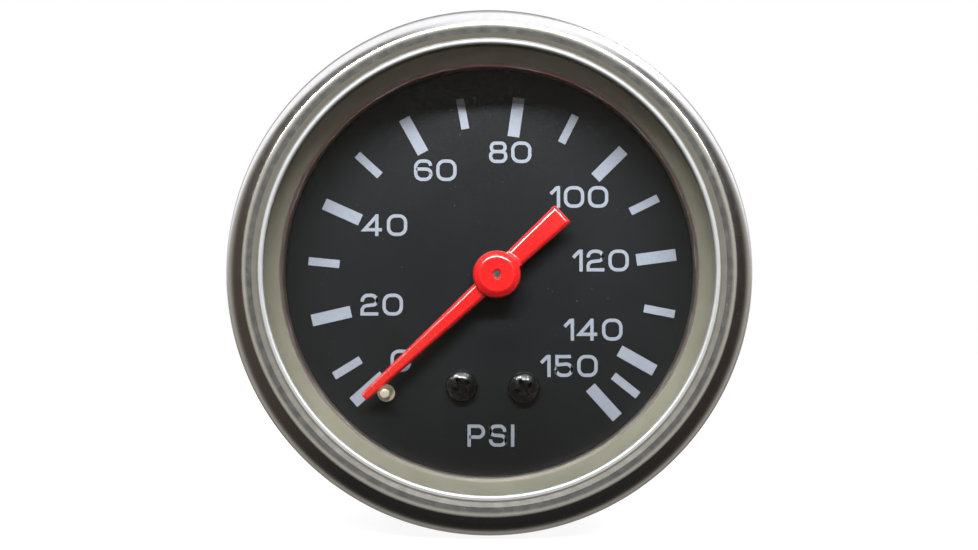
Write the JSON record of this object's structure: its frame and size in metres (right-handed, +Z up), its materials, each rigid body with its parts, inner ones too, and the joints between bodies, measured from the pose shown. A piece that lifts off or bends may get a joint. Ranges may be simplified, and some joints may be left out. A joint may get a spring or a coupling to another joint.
{
  "type": "panel pressure gauge",
  "caption": "Round panel-mounted pressure gauge with a polished bead bezel, a black dial, a red pointer, a curved-tube movement and a rear threaded port.",
  "frame": {"origin": "on the case axis, in the plane of the bezel's rear face, which seats on the panel", "axes": "+Y along the case axis towards the back, so the dial faces -Y; +Z up the dial; +X to the right of the dial"},
  "size_m": [0.06, 0.0547, 0.06],
  "materials": {
    "bezel_chrome": "polished",
    "lens_glass": "clear",
    "gasket_rubber": "matte",
    "satin_nickel": "satin",
    "case_paint": "satin",
    "dial_black": "fine satin",
    "screw_black": "black oxide",
    "brass": "machined",
    "brass_bright": "bright turned",
    "pointer_red": "gloss",
    "steel": "turned",
    "spring_bronze": "bright",
    "tube_bronze": "drawn",
    "socket_brass": "turned",
    "screw_zinc": "zinc plated"
  },
  "bodies": {
    "gauge_frame": {"bezel_ring": "bezel_chrome", "lens": "lens_glass", "lens_gasket": "gasket_rubber", "reflector_ring": "satin_nickel", "case_seal": "gasket_rubber", "case_shell": "case_paint", "dial_plate": "dial_black", "dial_screws": "screw_black", "dial_posts": "brass", "stop_pin": "brass_bright", "hairspring": "spring_bronze", "hairspring_stud": "brass", "movement_front_plate": "brass", "movement_back_plate": "brass", "movement_pillars": "brass", "movement_plate_screws": "steel", "movement_base_screws": "steel", "bourdon_tube": "tube_bronze", "socket_block": "socket_brass", "port_restrictor": "brass", "stem_gasket": "gasket_rubber", "socket_screws": "screw_zinc", "mounting_studs": "screw_zinc", "vent_plug": "gasket_rubber"},
    "sector": {"sector_gear": "brass", "sector_arbor": "steel", "link_sector_pin": "steel"},
    "pointer": {"pointer": "pointer_red", "pointer_bush": "brass", "pinion_arbor": "steel", "hairspring_collet": "brass"},
    "tube_tip": {"tube_tip_block": "brass", "link_tip_pin": "steel"},
    "link": {"link": "steel"}
  },
  "joints": [
    {"name": "sector_swing", "type": "hinge", "parent": "gauge_frame", "child": "sector", "pos_m": [0.00858, 0.0059, -0.00973], "axis": [0, -1, 0], "range_deg": [0, 30.25], "stiffness_Nm_per_rad": 0.01},
    {"name": "pointer_turn", "type": "hinge", "parent": "gauge_frame", "child": "pointer", "pos_m": [0.00087, 0, -0.00054], "axis": [0, 1, 0], "range_deg": [0, 272.25], "deforming": ["hairspring"]},
    {"name": "tube_tip_lift", "type": "hinge", "parent": "gauge_frame", "child": "tube_tip", "pos_m": [-0.00432, 0.0085, 0.00067], "axis": [0, -1, 0], "range_deg": [0, 5.68], "deforming": ["bourdon_tube"]},
    {"name": "link_pivot", "type": "hinge", "parent": "tube_tip", "child": "link", "pos_m": [0.01488, 0.00495, -0.00403], "axis": [0, -1, 0], "range_deg": [-6.73, 0]}
  ],
  "couplings": [
    {"joint": "pointer_turn", "follows": "sector_swing", "ratio": 9},
    {"joint": "tube_tip_lift", "follows": "sector_swing", "ratio": 0.18761},
    {"joint": "link_pivot", "follows": "sector_swing", "ratio": -0.22246}
  ]
}
